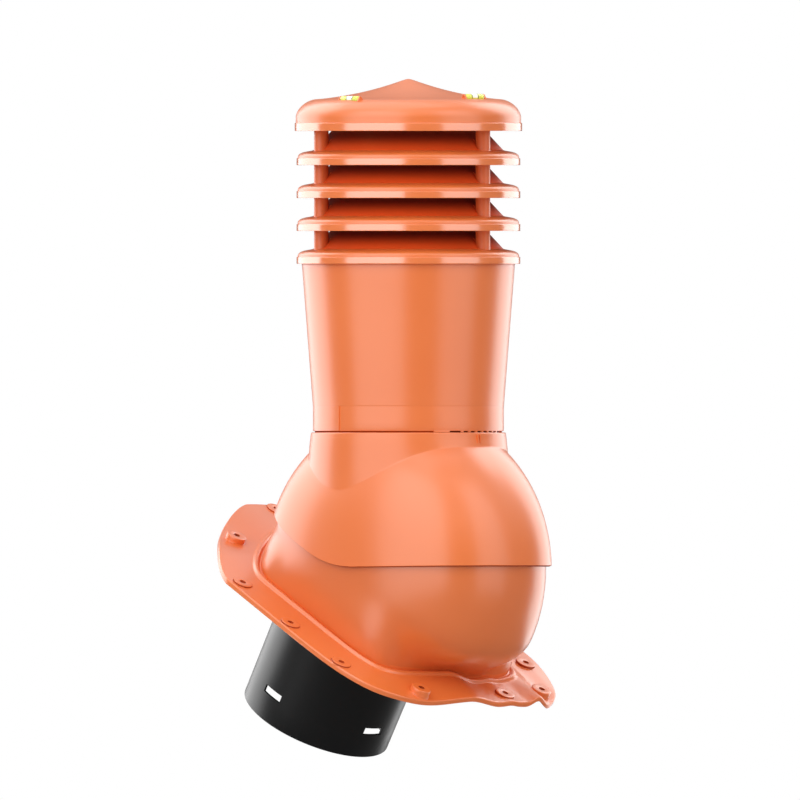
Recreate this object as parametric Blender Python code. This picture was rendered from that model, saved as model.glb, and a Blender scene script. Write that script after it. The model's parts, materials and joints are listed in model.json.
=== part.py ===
"""Roof ventilation chimney on a 30 degree roof, in metres, +Z up.

The origin is where the duct's axis crosses the roof surface.
-Y points down the slope and +X to the right, seen from below the slope.
"""
import math

import bmesh
import bpy
import numpy as np
from mathutils import Matrix

MM = 0.001

# Roof and axes
ROOF_SLOPE = math.radians(30.0)
TUBE_Y = -64.75 * MM
PIVOT_Z = 37.9 * MM
GAP = 0.3 * MM

# Hood: dome turned about the tilt axis, with a round collar on top
DOME_RADIUS = 153.0 * MM
DOME_HALF_WIDTH = 105.8 * MM
DOME_POWER = 2.42
HOOD_WALL = 2.6 * MM
HOOD_EDGE_RISE = 2.9 * MM
HOOD_BACK_ANGLE = math.radians(25.5)
HOOD_EDGE_BLEND = 0.135
COLLAR_TOP_Z = 170.6 * MM
COLLAR_TOP_R = 94.6 * MM
COLLAR_FOOT_R = 97.0 * MM
COLLAR_BORE_R = 91.0 * MM
HOOD_COLUMNS = 32
HOOD_ROWS = 7

# Base: hump under the hood and flange on the tiles
HUMP_INSET = 5.2 * MM
HUMP_WALL = 2.8 * MM
HUMP_RIM_R = 84.0 * MM
UNDERCUT = math.radians(32.0)
UPHILL_FLARE = math.radians(11.0)
FLANGE_WALL = 2.8 * MM
FLANGE_RIM = 5.2 * MM
RIM_THICKNESS = 3.0 * MM
OUTLINE_CENTRE_V = -47.0 * MM
FLANGE_HALF_WIDTH = 145.0 * MM
FLANGE_FRONT_V = 181.0 * MM
FLANGE_BACK_V = -187.0 * MM
FLANGE_POWERS = (5.8, 6.6, 1.29, 2.3)
FRONT_RIGHT_SWELL = 5.0 * MM
FRONT_RIGHT_BEARING = 45.0
FRONT_RIGHT_SPREAD = 9.0
FOOT_HALF_WIDTH = 102.0 * MM
FOOT_FRONT_V = 140.0 * MM
FOOT_BACK_V = -134.0 * MM
FOOT_POWERS = (8.0, 8.0, 1.3, 1.3)
BEAD_HEIGHT = 3.0 * MM
BEAD_HALF_WIDTH = 4.5 * MM
LEVEL_H = 7.0 * MM
WEB_BOTTOM_H = 0.0
WEB_TOP_H = 3.0 * MM
BASE_COLUMNS = 56

# Screw seats: (across, down the slope, height above the flange)
TALL_SEAT = 6.5 * MM
LOW_SEAT = 1.6 * MM
SEAT_R = 9.6 * MM
SEAT_SIDES = 8
SEATS = [
    (-66, -126, TALL_SEAT), (-67, 168, TALL_SEAT), (108, 160, TALL_SEAT),
    (-132, -39, LOW_SEAT), (-134, 39, LOW_SEAT), (-131, 116, LOW_SEAT),
    (53, 166, LOW_SEAT), (130, 109, LOW_SEAT), (30, -175, LOW_SEAT),
    (132, -39, LOW_SEAT), (134, 38, LOW_SEAT), (80, -126, TALL_SEAT),
]

# Duct spigot below the roof
DUCT_TOP_R = 75.6 * MM
DUCT_END_R = 74.3 * MM
DUCT_WALL = 2.5 * MM
DUCT_TOP_H = 30.0 * MM
DUCT_END_H = -124.0 * MM
DUCT_SHOULDER_R = 84.0 * MM
DUCT_SHOULDER = 3.0 * MM
SLOT_H = -95.3 * MM
SLOT_WIDTH = 24.0 * MM
SLOT_HEIGHT = 7.4 * MM
DUCT_SEGMENTS = 32

# Casing tube
TUBE_FOOT_Z = COLLAR_TOP_Z + GAP
TUBE_FOOT_R = 92.6 * MM
TUBE_BAND_Z = 196.3 * MM
TUBE_TOP_R = 103.4 * MM
TUBE_WALL = 2.5 * MM
TUBE_SPIGOT_DEPTH = 9.5 * MM
TUBE_SEGMENTS = 32

# Louvre rings and cap
RING_COUNT = 4
LOWEST_LIP_Z = 334.2 * MM
RING_PITCH = 31.9 * MM
LIP_R = 108.2 * MM
LIP_WALL = 2.3 * MM
CONE_TOP_R = 72.4 * MM
CONE_TOP = 35.9 * MM
POST_COUNT = 3
POST_CENTRE_R = 91.3 * MM
POST_R = 7.25 * MM
POST_TURN = math.radians(7.3)
POST_FOOT = 12.9 * MM
POST_HEAD = 10.4 * MM
TOP_POST_RISE = 22.4 * MM
RING_SEGMENTS = 28
CAP_SEGMENTS = 32
CAP_RIM_Z = 463.1 * MM
CAP_RIM_R = 110.1 * MM
CAP_WALL = 2.5 * MM
CAP_PEAK_Z = 514.6 * MM
CAP_SLOPE = 0.3913
CAP_CURVE = 1.85

# Spirit levels in the cap: (x, y from the tube axis, axis along)
VIAL_R = 2.7 * MM
VIAL_LENGTH = 24.6 * MM
CHEEK_BASE = 7.6 * MM
CHEEK_HEIGHT = 6.4 * MM
CHEEK_THICKNESS = 1.6 * MM
POCKET_HEIGHT = 9.0 * MM
TUB_FLOOR = 1.5 * MM
LEVELS = {
    "side": (-90.5 * MM, -11.2 * MM, 493.9 * MM, "Y"),
    "front": (8.5 * MM, -81.2 * MM, 495.9 * MM, "X"),
}

TERRACOTTA = (0.72, 0.21, 0.07)
BLACK = (0.02, 0.02, 0.021)
LEVEL_GREEN = (0.62, 0.78, 0.05)


def clear_scene():
    for thing in list(bpy.data.objects):
        bpy.data.objects.remove(thing, do_unlink=True)


def plastic(name, colour, roughness):
    material = bpy.data.materials.new(name)
    material.use_nodes = True
    shader = material.node_tree.nodes["Principled BSDF"]
    shader.inputs["Base Color"].default_value = (*colour, 1.0)
    shader.inputs["Roughness"].default_value = roughness
    shader.inputs["Metallic"].default_value = 0.0
    return material


def add_object(name, mesh, material, location=(0.0, 0.0, 0.0), parent=None):
    part = bpy.data.objects.new(name, mesh)
    bpy.context.scene.collection.objects.link(part)
    if material is not None:
        mesh.materials.append(material)
    part.location = location
    if parent is not None:
        part.parent = parent
    mesh.shade_smooth()
    mesh.set_sharp_from_angle(angle=math.radians(32.0))
    return part


def mesh_from_bmesh(name, bm):
    bmesh.ops.recalc_face_normals(bm, faces=bm.faces)
    mesh = bpy.data.meshes.new(name)
    bm.to_mesh(mesh)
    bm.free()
    return mesh


def looped_mesh(name, rows):
    """Close a grid of points both ways: each row is a ring, and the last ring meets the first."""
    rows = np.asarray(rows)
    ring_count, column_count, _ = rows.shape
    bm = bmesh.new()
    verts = [[bm.verts.new(point) for point in ring] for ring in rows]
    for i in range(ring_count):
        ring, following = verts[i], verts[(i + 1) % ring_count]
        for j in range(column_count):
            k = (j + 1) % column_count
            bm.faces.new((ring[j], ring[k], following[k], following[j]))
    return mesh_from_bmesh(name, bm)


def turned_mesh(name, outline, segments, closed=True):
    """Spin an outline of (radius, height) points about the local Z axis, from 45 degrees."""
    bm = bmesh.new()
    start = math.pi / 4
    verts = [bm.verts.new((radius * math.cos(start), radius * math.sin(start), height))
             for radius, height in outline]
    edges = [bm.edges.new(pair) for pair in zip(verts, verts[1:])]
    if closed:
        edges.append(bm.edges.new((verts[-1], verts[0])))
    bmesh.ops.spin(bm, geom=verts + edges, cent=(0, 0, 0), axis=(0, 0, 1),
                   angle=2 * math.pi, steps=segments, use_merge=True)
    bmesh.ops.remove_doubles(bm, verts=bm.verts, dist=1e-6)
    return mesh_from_bmesh(name, bm)


def boolean(part, cutter, operation):
    """Join a helper solid to a part, or cut it out, and hide the helper."""
    modifier = part.modifiers.new(operation.lower(), "BOOLEAN")
    modifier.operation = operation
    modifier.solver = "EXACT"
    modifier.object = cutter
    cutter.hide_render = True
    cutter.display_type = "WIRE"


def smooth_step(low, high, value):
    t = np.clip((value - low) / (high - low), 0.0, 1.0)
    return t * t * (3.0 - 2.0 * t)


def bump(value, centre, width):
    return np.exp(-((value - centre) / width) ** 2)


def roof_to_world(u, v, h):
    """Point from u across the roof, v down its slope and h above its surface."""
    c, s = math.cos(ROOF_SLOPE), math.sin(ROOF_SLOPE)
    u, v, h = np.broadcast_arrays(u, v, h)
    return np.stack([u, -v * c - h * s, -v * s + h * c], axis=-1)


def barrel_reach(direction, inset):
    """Distance from the pivot to the dome along unit directions.

    The dome is |x/w|^n + (r/R)^n = 1, with r the distance from the tilt axis.
    """
    width = DOME_HALF_WIDTH - inset
    radius = DOME_RADIUS - inset
    across = np.abs(direction[..., 0]) / width
    around = np.hypot(direction[..., 1], direction[..., 2]) / radius
    return (across ** DOME_POWER + around ** DOME_POWER) ** (-1.0 / DOME_POWER)


def barrel_height(x, y, inset):
    """Height above the pivot of the dome over the point (x, y) from the tube axis."""
    width = DOME_HALF_WIDTH - inset
    radius = DOME_RADIUS - inset
    turned = radius * (1.0 - np.abs(x / width) ** DOME_POWER) ** (1.0 / DOME_POWER)
    return np.sqrt(turned ** 2 - y ** 2)


def directions_between(start, end, fraction):
    """Unit directions at a fraction of the way from start to end, column by column."""
    start = start / np.linalg.norm(start, axis=-1, keepdims=True)
    end = end / np.linalg.norm(end, axis=-1, keepdims=True)
    mixed = start * (1.0 - fraction) + end * fraction
    return mixed / np.linalg.norm(mixed, axis=-1, keepdims=True)


def hood_mesh():
    turn = np.linspace(0.0, 2 * math.pi, HOOD_COLUMNS, endpoint=False)
    out_x, out_y = np.sin(turn), -np.cos(turn)

    def ring(radius, height):
        return np.stack([radius * out_x, radius * out_y, height + 0.0 * turn], axis=-1)

    def edge_direction(inset):
        level = HOOD_EDGE_RISE / (DOME_HALF_WIDTH - inset)
        back = math.tan(HOOD_BACK_ANGLE) * out_y
        corner = np.clip(HOOD_EDGE_BLEND - np.abs(level - back), 0.0, None)
        climb = np.maximum(level, back) + corner ** 2 / (4.0 * HOOD_EDGE_BLEND)
        return np.stack([out_x, out_y, climb], axis=-1)

    def dome_rows(inset, radius, fractions):
        start_z = barrel_height(radius * out_x, radius * out_y, inset)
        start = ring(radius, start_z)
        rows = []
        for fraction in fractions:
            way = directions_between(start, edge_direction(inset), fraction)
            rows.append(way * barrel_reach(way, inset)[:, None])
        return rows

    top = COLLAR_TOP_Z - PIVOT_Z
    outside = dome_rows(0.0, COLLAR_FOOT_R, np.linspace(0.0, 1.0, HOOD_ROWS))
    inside = dome_rows(HOOD_WALL, COLLAR_BORE_R, np.linspace(1.0, 0.0, HOOD_ROWS - 1))
    collar = [ring(COLLAR_BORE_R, top), ring(COLLAR_TOP_R - 0.8 * MM, top),
              ring(COLLAR_TOP_R, top - 1.0 * MM), ring(95.4 * MM, top - 7.0 * MM)]
    return looped_mesh("hood", collar + outside + inside)


def outline_radius(angle, half_width, front, back, powers):
    """Distance from the outline's centre to a curve |u/a|^p + |v/b|^p = 1.

    The length b changes from front to back, and each corner has its own power p:
    front left, front right, back left and back right.
    """
    across, along = np.cos(angle), np.sin(angle)
    reach = np.where(along >= 0.0, front, back)
    front_power = np.where(across < 0.0, powers[0], powers[1])
    back_power = np.where(across < 0.0, powers[2], powers[3])
    power = np.where(along >= 0.0, front_power, back_power)
    total = np.abs(across / half_width) ** power + np.abs(along / reach) ** power
    return total ** (-1.0 / power)


def flange_height(u, v):
    """Height of the flange's upper face, shaped to the tiles' waves."""
    u_mm, v_mm = u / MM, v / MM
    valley = -9.0 * smooth_step(-8.0, 36.0, u_mm) + 3.5 * smooth_step(108.0, 134.0, u_mm)
    crest = 10.0 * bump(u_mm, 88.0, 9.5) + 1.4 * bump(u_mm, 52.0, 8.0)
    left_fall = -1.6 * smooth_step(-100.0, -146.0, u_mm)
    height = (valley + crest) * smooth_step(-140.0, 20.0, v_mm) + left_fall
    lip = -1.2 - 5.3 * bump(u_mm, -60.0, 42.0) + 2.2 * smooth_step(-10.0, 30.0, u_mm)
    height += (lip - 4.4 * bump(u_mm, 88.0, 12.0)) * smooth_step(140.0, 181.0, v_mm)
    height += -5.5 * smooth_step(95.0, 112.0, u_mm) * smooth_step(100.0, 181.0, v_mm)
    back = 2.5 * smooth_step(-50.0, 5.0, u_mm) - 4.5 * bump(u_mm, -68.0, 34.0)
    height += back * smooth_step(-90.0, -135.0, v_mm)
    return LEVEL_H + height * MM


def base_columns():
    """Column angles about the outline's centre, closer together along the front."""
    angle = np.linspace(-math.pi, math.pi, 2001)
    density = 1.0 + 1.9 * np.exp(-((angle - math.pi / 2) / math.radians(34.0)) ** 2)
    total = np.concatenate([[0.0], np.cumsum((density[1:] + density[:-1]) / 2)])
    wanted = (np.arange(BASE_COLUMNS) + 0.5) / BASE_COLUMNS * total[-1]
    return np.interp(wanted, total, angle)


def base_mesh():
    angle = base_columns()
    foot_r = outline_radius(angle, FOOT_HALF_WIDTH, FOOT_FRONT_V - OUTLINE_CENTRE_V,
                            OUTLINE_CENTRE_V - FOOT_BACK_V, FOOT_POWERS)
    edge_r = outline_radius(angle, FLANGE_HALF_WIDTH, FLANGE_FRONT_V - OUTLINE_CENTRE_V,
                            OUTLINE_CENTRE_V - FLANGE_BACK_V, FLANGE_POWERS)
    bearing = np.degrees(angle)
    edge_r += FRONT_RIGHT_SWELL * bump(bearing, FRONT_RIGHT_BEARING, FRONT_RIGHT_SPREAD)
    pivot = np.array([0.0, TUBE_Y, PIVOT_Z])

    def plan(radius):
        return radius * np.cos(angle), OUTLINE_CENTRE_V + radius * np.sin(angle)

    def flange_row(radius, lift):
        u, v = plan(radius)
        return roof_to_world(u, v, flange_height(u, v) + lift)

    def level_row(radius, h):
        u, v = plan(radius)
        return roof_to_world(u, v, h)

    foot = flange_row(foot_r - 6.0 * MM, 1.0 * MM) - pivot
    foot_u, foot_v = plan(foot_r)
    around = np.arctan2(foot[:, 0], -foot[:, 1])
    rim_x, rim_y = HUMP_RIM_R * np.sin(around), -HUMP_RIM_R * np.cos(around)
    rim = np.stack([rim_x, rim_y, barrel_height(rim_x, rim_y, HUMP_INSET)], axis=-1)
    foot_distance = np.linalg.norm(foot, axis=-1)
    foot_way = foot / foot_distance[:, None]
    stretch = foot_distance / barrel_reach(foot_way, HUMP_INSET) - 1.0

    def hump_row(fraction, lift):
        way = directions_between(rim, foot, fraction)
        near = np.arccos(np.clip((way * foot_way).sum(axis=-1), -1.0, 1.0))
        reach_in = np.where(stretch > 0.0, UPHILL_FLARE, UNDERCUT)
        weight = smooth_step(reach_in, 0.0, near)
        distance = barrel_reach(way, HUMP_INSET) * (1.0 + stretch * weight) + lift
        return pivot + way * distance[:, None]

    around_duct = np.arctan2(foot_v, foot_u)
    hole_r = DUCT_TOP_R + GAP + 0.4 * MM
    hole_u, hole_v = hole_r * np.cos(around_duct), hole_r * np.sin(around_duct)

    rows = [hump_row(fraction, 0.0) for fraction in (0.0, 0.24, 0.42)]
    rows += [hump_row(fraction, 0.0) for fraction in (0.51, 0.6, 0.69, 0.78, 0.87, 0.95)]
    rows += [flange_row(foot_r - 6.0 * MM, 1.0 * MM),
             flange_row(foot_r - 2.0 * MM, BEAD_HEIGHT),
             flange_row(foot_r + 1.5 * MM, BEAD_HEIGHT),
             flange_row(foot_r + BEAD_HALF_WIDTH, 0.2 * MM)]
    margin = edge_r - foot_r
    rows += [flange_row(foot_r + margin * 0.36, 0.0), flange_row(foot_r + margin * 0.68, 0.0)]
    rows += [flange_row(edge_r - 2.4 * MM, 0.0), flange_row(edge_r, -2.0 * MM),
             flange_row(edge_r, -FLANGE_RIM), flange_row(edge_r - RIM_THICKNESS, -FLANGE_RIM),
             flange_row(edge_r - RIM_THICKNESS, -FLANGE_WALL)]
    rows += [flange_row(foot_r + margin * 0.68, -FLANGE_WALL),
             flange_row(foot_r + margin * 0.36, -FLANGE_WALL),
             flange_row(foot_r - 2.0 * MM, -FLANGE_WALL),
             level_row(foot_r - 12.0 * MM, WEB_BOTTOM_H)]
    rows += [roof_to_world(hole_u, hole_v, WEB_BOTTOM_H), roof_to_world(hole_u, hole_v, WEB_TOP_H)]
    rows += [level_row(foot_r - 13.0 * MM, WEB_TOP_H)]
    rows += [hump_row(fraction, -HUMP_WALL) for fraction in (0.93, 0.78, 0.5, 0.2, 0.0)]
    return looped_mesh("roof_base", rows)


def seat_cutter(index, across, down, lift, material):
    """A round screw seat that stands square to the roof and sinks into the flange."""
    u, v = across * MM, down * MM
    surface = float(flange_height(np.array(u), np.array(v)))
    mesh = turned_mesh("seat", [(0.0, lift), (SEAT_R, lift), (SEAT_R + 0.6 * MM, -1.9 * MM),
                                (0.0, -1.9 * MM)], SEAT_SIDES, closed=False)
    place = roof_to_world(u, v, surface)
    seat = add_object(f"seat_form_{index}", mesh, material, location=place)
    seat.rotation_euler = (ROOF_SLOPE, 0.0, 0.0)
    return seat


def joined(name, parts, material):
    """One helper object that holds several separate solids."""
    bm = bmesh.new()
    for part in parts:
        bpy.context.view_layer.update()
        copy = part.data.copy()
        copy.transform(part.matrix_world)
        bm.from_mesh(copy)
        bpy.data.meshes.remove(copy)
        bpy.data.objects.remove(part, do_unlink=True)
    mesh = mesh_from_bmesh(name, bm)
    return add_object(name, mesh, material)


def make_base(orange):
    base = add_object("roof_base", base_mesh(), orange)
    seats = [seat_cutter(i, *seat, orange) for i, seat in enumerate(SEATS)]
    boolean(base, joined("seat_forms", seats, orange), "UNION")


def make_duct(black):
    """Plain pipe square to the roof, hung by its shoulder on the base's web."""
    shoulder = WEB_TOP_H + GAP
    outline = [(DUCT_TOP_R, DUCT_TOP_H), (DUCT_TOP_R, shoulder + DUCT_SHOULDER),
               (DUCT_SHOULDER_R, shoulder + DUCT_SHOULDER), (DUCT_SHOULDER_R, shoulder),
               (DUCT_TOP_R, shoulder), (DUCT_END_R, DUCT_END_H),
               (DUCT_END_R - DUCT_WALL, DUCT_END_H), (DUCT_TOP_R - DUCT_WALL, DUCT_TOP_H)]
    mesh = turned_mesh("duct_spigot", outline, DUCT_SEGMENTS)
    duct = add_object("duct_spigot", mesh, black)
    duct.rotation_euler = (ROOF_SLOPE, 0.0, 0.0)
    bm = bmesh.new()
    for quarter in range(4):
        size = (SLOT_WIDTH, 4 * DUCT_WALL, SLOT_HEIGHT)
        made = bmesh.ops.create_cube(bm, size=1.0)["verts"]
        bmesh.ops.scale(bm, vec=size, verts=made)
        bmesh.ops.translate(bm, vec=(0.0, -DUCT_END_R, SLOT_H), verts=made)
        turn = Matrix.Rotation(quarter * math.pi / 2, 3, "Z")
        bmesh.ops.rotate(bm, cent=(0, 0, 0), verts=made, matrix=turn)
    slots = add_object("slot_forms", mesh_from_bmesh("slot_forms", bm), None)
    slots.rotation_euler = duct.rotation_euler
    boolean(duct, slots, "DIFFERENCE")


def make_tube(orange, pivot):
    """Casing tube that widens upwards, with a short spigot inside the collar."""
    foot, band = TUBE_FOOT_Z, TUBE_BAND_Z
    top = LOWEST_LIP_Z + 6.5 * MM
    spigot_r = COLLAR_BORE_R - GAP
    outline = [(TUBE_TOP_R - 1.6 * MM, top), (TUBE_TOP_R, LOWEST_LIP_Z), (TUBE_FOOT_R, band),
               (TUBE_FOOT_R, foot), (spigot_r, foot), (spigot_r, foot - TUBE_SPIGOT_DEPTH),
               (spigot_r - TUBE_WALL, foot - TUBE_SPIGOT_DEPTH),
               (TUBE_TOP_R - 1.6 * MM - TUBE_WALL, top)]
    mesh = turned_mesh("casing_tube", outline, TUBE_SEGMENTS)
    add_object("casing_tube", mesh, orange, (0.0, 0.0, -PIVOT_Z), pivot)


def ring_outline():
    outside = [(LIP_R, 0.0), (LIP_R, 5.0 * MM), (106.4 * MM, 9.0 * MM), (101.8 * MM, 13.0 * MM),
               (92.4 * MM, 14.7 * MM), (CONE_TOP_R, CONE_TOP)]
    inside = [(CONE_TOP_R - 1.5 * MM, CONE_TOP - 1.6 * MM), (91.4 * MM, 12.4 * MM),
              (102.4 * MM, 9.6 * MM), (LIP_R - LIP_WALL, 0.0)]
    return outside + inside


def make_rings(orange, pivot):
    """Louvre rings, each moulded with three posts that carry the ring above."""
    for index in range(RING_COUNT):
        lip_z = LOWEST_LIP_Z + (RING_COUNT - 1 - index) * RING_PITCH
        mesh = turned_mesh("louvre_ring", ring_outline(), RING_SEGMENTS)
        place = (0.0, 0.0, lip_z - PIVOT_Z)
        ring = add_object(f"louvre_ring_{index + 1}", mesh, orange, place, pivot)
        head = RING_PITCH + POST_HEAD
        if index == 0:
            head = CAP_RIM_Z + TOP_POST_RISE - lip_z
        bm = bmesh.new()
        for post in range(POST_COUNT):
            turn = POST_TURN + post * 2 * math.pi / POST_COUNT
            made = bmesh.ops.create_cone(bm, cap_ends=True, segments=8, radius1=POST_R,
                                         radius2=POST_R, depth=head - POST_FOOT)["verts"]
            centre = (POST_CENTRE_R * math.sin(turn), -POST_CENTRE_R * math.cos(turn),
                      (head + POST_FOOT) / 2)
            bmesh.ops.translate(bm, vec=centre, verts=made)
        forms = add_object(f"post_forms_{index + 1}", mesh_from_bmesh("post_forms", bm), None,
                           place, pivot)
        boolean(ring, forms, "UNION")


def cap_height(radius):
    """Height of the cap's hollow-curved cone at a radius."""
    return CAP_PEAK_Z - CAP_SLOPE * radius + CAP_CURVE * radius ** 2


def make_cap(orange, pivot):
    shoulder = [(CAP_RIM_R, CAP_RIM_Z), (CAP_RIM_R, 470.3 * MM), (109.1 * MM, 475.7 * MM),
                (106.6 * MM, 483.0 * MM), (101.0 * MM, 489.6 * MM), (93.5 * MM, 493.3 * MM)]
    cone = [(radius * MM, cap_height(radius * MM)) for radius in (62.0, 30.0)]
    outside = shoulder + cone + [(0.0, 513.6 * MM)]
    under = [(radius * MM, cap_height(radius * MM) - CAP_WALL) for radius in (26.0, 70.0)]
    inside = [(0.0, 510.3 * MM)] + under
    inside += [(92.5 * MM, 490.6 * MM), (102.4 * MM, 484.8 * MM), (106.8 * MM, 475.0 * MM),
               (CAP_RIM_R - CAP_WALL, CAP_RIM_Z)]
    outline = list(reversed(outside)) + list(reversed(inside))
    mesh = turned_mesh("cap", outline, CAP_SEGMENTS, closed=False)
    cap = add_object("cap", mesh, orange, (0.0, 0.0, -PIVOT_Z), pivot)
    tubs, cheeks, pockets = bmesh.new(), bmesh.new(), bmesh.new()
    for x, y, z, axis in LEVELS.values():
        floor = z - VIAL_R - GAP
        tub_length = VIAL_LENGTH + 2 * CHEEK_THICKNESS
        add_block(tubs, x, y, axis, tub_length, CHEEK_BASE - GAP, floor - TUB_FLOOR, floor + GAP)
        for side in (-1.0, 1.0):
            add_cheek(cheeks, x, y, z, axis, side)
        add_block(pockets, x, y, axis, VIAL_LENGTH + GAP, 2 * VIAL_R + 2 * GAP, floor,
                  floor + POCKET_HEIGHT)
    for name, bm, operation in (("tub", tubs, "UNION"), ("cheek", cheeks, "UNION"),
                                ("pocket", pockets, "DIFFERENCE")):
        mesh = mesh_from_bmesh(f"{name}_forms", bm)
        forms = add_object(f"{name}_forms", mesh, None, (0.0, 0.0, -PIVOT_Z), pivot)
        boolean(cap, forms, operation)


def add_block(bm, x, y, axis, long, wide, bottom, top):
    """An upright block at (x, y), long along the named axis."""
    size = (long, wide, top - bottom) if axis == "X" else (wide, long, top - bottom)
    made = bmesh.ops.create_cube(bm, size=1.0)["verts"]
    bmesh.ops.scale(bm, vec=size, verts=made)
    bmesh.ops.translate(bm, vec=(x, y, (bottom + top) / 2), verts=made)


def add_cheek(bm, x, y, z, axis, side):
    """A three-sided cheek at one end of a level, on a foot sunk into the cap."""
    near = VIAL_LENGTH / 2 + GAP
    far = near + CHEEK_THICKNESS
    low = z - VIAL_R - 2.4 * MM
    face = [(-CHEEK_BASE / 2, low), (CHEEK_BASE / 2, low), (CHEEK_BASE / 2, z - VIAL_R + 0.8 * MM),
            (0.0, z + CHEEK_HEIGHT / 2), (-CHEEK_BASE / 2, z - VIAL_R + 0.8 * MM)]
    rings = []
    for along in (side * near, side * far):
        ring = []
        for across, height in face:
            if axis == "X":
                ring.append(bm.verts.new((x + along, y + across, height)))
            else:
                ring.append(bm.verts.new((x + across, y + along, height)))
        rings.append(ring)
    bm.faces.new(rings[0])
    bm.faces.new(rings[1])
    count = len(face)
    for i in range(count):
        k = (i + 1) % count
        bm.faces.new((rings[0][i], rings[0][k], rings[1][k], rings[1][i]))


def make_levels(green, pivot):
    for name, (x, y, z, axis) in LEVELS.items():
        outline = [(0.0, VIAL_LENGTH / 2), (VIAL_R, VIAL_LENGTH / 2),
                   (VIAL_R, -VIAL_LENGTH / 2), (0.0, -VIAL_LENGTH / 2)]
        mesh = turned_mesh(f"level_{name}", outline, 12, closed=False)
        vial = add_object(f"spirit_level_{name}", mesh, green, (x, y, z - PIVOT_Z), pivot)
        vial.rotation_euler = (0.0, math.pi / 2, 0.0) if axis == "X" else (math.pi / 2, 0.0, 0.0)


def main():
    clear_scene()
    orange = plastic("terracotta_plastic", TERRACOTTA, 0.4)
    black = plastic("black_duct_plastic", BLACK, 0.45)
    green = plastic("level_fluid", LEVEL_GREEN, 0.1)
    pivot = bpy.data.objects.new("tilt_axis", None)
    bpy.context.scene.collection.objects.link(pivot)
    pivot.location = (0.0, TUBE_Y, PIVOT_Z)
    make_base(orange)
    make_duct(black)
    add_object("hood", hood_mesh(), orange, parent=pivot)
    make_tube(orange, pivot)
    make_rings(orange, pivot)
    make_cap(orange, pivot)
    make_levels(green, pivot)


main()
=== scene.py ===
# %% [markdown]
# A roof ventilation chimney
#
# The real object is a set of injection-moulded polypropylene shells: a flange that lies on the
# tiles with a hump rising from it, a dome-shaped hood that slides over the hump, a tapering
# casing, four louvre rings on posts and a rain cap with two small spirit levels. A black duct
# spigot hangs below.
#
# Almost every shape here is turned or swept, so it can be written as a formula on a grid. That
# keeps walls, edges and fillets exact at any density, which box modelling would only come near.

# %% Load the fixed frame
import json
import math

import bpy
import numpy as np
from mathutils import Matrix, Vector


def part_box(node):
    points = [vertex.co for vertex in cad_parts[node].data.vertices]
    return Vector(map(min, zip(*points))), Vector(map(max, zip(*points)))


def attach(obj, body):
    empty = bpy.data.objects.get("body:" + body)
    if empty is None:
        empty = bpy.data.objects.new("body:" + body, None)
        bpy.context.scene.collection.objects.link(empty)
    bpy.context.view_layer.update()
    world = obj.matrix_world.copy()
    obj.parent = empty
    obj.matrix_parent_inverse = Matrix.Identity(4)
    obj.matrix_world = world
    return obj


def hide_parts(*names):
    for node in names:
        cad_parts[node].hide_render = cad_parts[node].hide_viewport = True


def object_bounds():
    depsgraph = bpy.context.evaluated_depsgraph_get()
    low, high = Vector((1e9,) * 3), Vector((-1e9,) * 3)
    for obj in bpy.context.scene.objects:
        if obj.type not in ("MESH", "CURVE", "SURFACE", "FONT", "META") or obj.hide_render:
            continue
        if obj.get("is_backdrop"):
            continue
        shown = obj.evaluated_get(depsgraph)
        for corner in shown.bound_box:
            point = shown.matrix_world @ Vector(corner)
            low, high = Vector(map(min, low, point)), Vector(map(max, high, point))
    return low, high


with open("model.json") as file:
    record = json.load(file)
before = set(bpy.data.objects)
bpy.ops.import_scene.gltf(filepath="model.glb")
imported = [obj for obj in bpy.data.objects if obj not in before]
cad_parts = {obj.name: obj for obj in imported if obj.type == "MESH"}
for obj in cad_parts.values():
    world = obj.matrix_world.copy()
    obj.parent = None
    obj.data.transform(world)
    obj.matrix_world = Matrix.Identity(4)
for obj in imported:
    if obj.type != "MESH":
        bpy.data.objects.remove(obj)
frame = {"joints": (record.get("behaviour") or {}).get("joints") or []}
cad_low, cad_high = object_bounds()

MM = 0.001
ROOF_SLOPE = math.radians(30.0)
PIVOT = np.array(frame["joints"][0]["pos_m"])
TUBE_Y = PIVOT[1]

# %% [markdown]
# Small curves
#
# Moulded plastic has no hard corner: every edge has a radius and every foot a fillet. A Bevel
# modifier could round them afterwards, but it can't follow a measured outline. So these helpers
# give a smooth step, a bump, an arc and a curved corner, and all later outlines are joined from
# them.


# %% Curve helpers
def smooth_step(low, high, value):
    """0 below low, 1 above high, and 3t^2 - 2t^3 between them."""
    t = np.clip((value - low) / (high - low), 0.0, 1.0)
    return t * t * (3.0 - 2.0 * t)


def bump(value, centre, width):
    """A bell curve: e to the minus square of the distance from the centre over the width."""
    return np.exp(-((value - centre) / width) ** 2)


def arc(centre, radii, start, end, steps=7, power=2.0):
    """Points on the curve |x/a|^n + |y/b|^n = 1 about a centre, between two angles in degrees."""
    turn = np.radians(np.linspace(start, end, steps))
    c, s = np.cos(turn), np.sin(turn)
    across = centre[0] + radii[0] * np.sign(c) * np.abs(c) ** (2.0 / power)
    up = centre[1] + radii[1] * np.sign(s) * np.abs(s) ** (2.0 / power)
    return np.stack([across, up], axis=-1)


def corner(start, control, end, steps=7):
    """A curved corner: (1-t)^2 start + 2t(1-t) control + t^2 end."""
    t = np.linspace(0.0, 1.0, steps)[:, None]
    start, control, end = np.asarray(start), np.asarray(control), np.asarray(end)
    return (1 - t) ** 2 * start + 2 * t * (1 - t) * control + t ** 2 * end


def run(start, end, steps):
    """Evenly spaced points on a straight line, without its two ends."""
    t = np.linspace(0.0, 1.0, steps + 2)[1:-1, None]
    return np.asarray(start) * (1 - t) + np.asarray(end) * t


print("after a quarter of its width a smooth step is", smooth_step(0.0, 1.0, 0.25), "high")

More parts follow.
